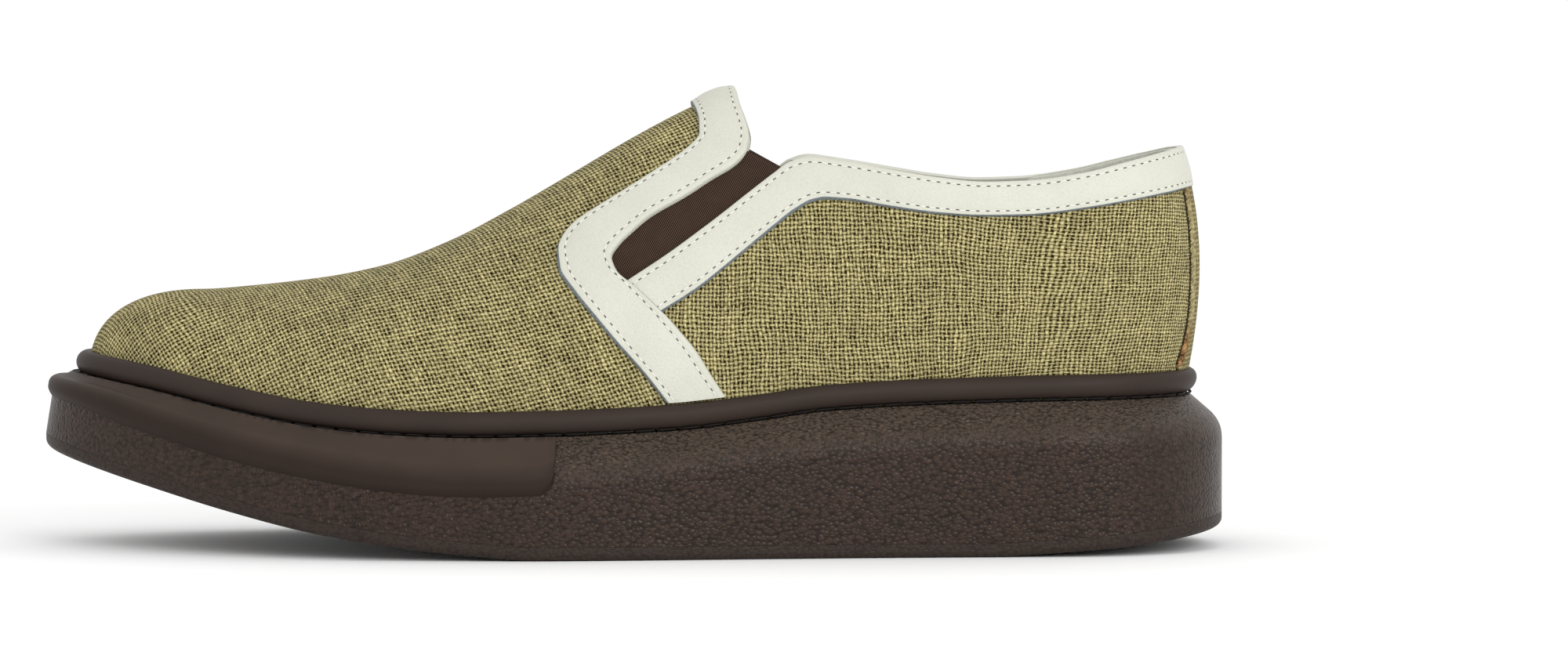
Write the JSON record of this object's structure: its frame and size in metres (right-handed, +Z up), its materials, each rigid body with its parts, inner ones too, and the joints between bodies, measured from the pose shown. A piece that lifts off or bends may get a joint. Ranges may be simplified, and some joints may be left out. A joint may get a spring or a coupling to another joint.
{
  "type": "slip-on shoe",
  "caption": "Low slip-on shoe with a hollow cloth upper, pale leather throat and collar strips, elastic side gores and a thick dark wedge sole with a toe bumper.",
  "frame": {"origin": "on the floor under the middle of the shoe's outline", "axes": "+X from the toe to the heel, -Y to the outer side of the foot, +Z up"},
  "size_m": [0.3064, 0.1116, 0.1196],
  "materials": {
    "outsole_rubber": "matt moulded rubber",
    "midsole_rubber": "pebbled foamed rubber",
    "bumper_rubber": "smooth satin rubber",
    "welt_rubber": "smooth satin rubber",
    "footbed_leather": "plain lining leather",
    "linen": "coarse plain weave, olive",
    "throat_leather": "fine-grained, off-white",
    "collar_leather": "fine-grained, off-white",
    "gore_elastic_outer": "ribbed elastic, dark brown",
    "gore_elastic_inner": "ribbed elastic, dark brown",
    "backstay_linen": "coarse plain weave, olive"
  },
  "bodies": {
    "root": {"outsole": "outsole_rubber", "midsole": "midsole_rubber", "toe_bumper": "bumper_rubber", "welt": "welt_rubber", "insole": "footbed_leather", "upper": "linen", "throat_trim": "throat_leather", "collar_trim": "collar_leather", "gore_outer": "gore_elastic_outer", "gore_inner": "gore_elastic_inner", "backstay": "backstay_linen"}
  },
  "joints": []
}
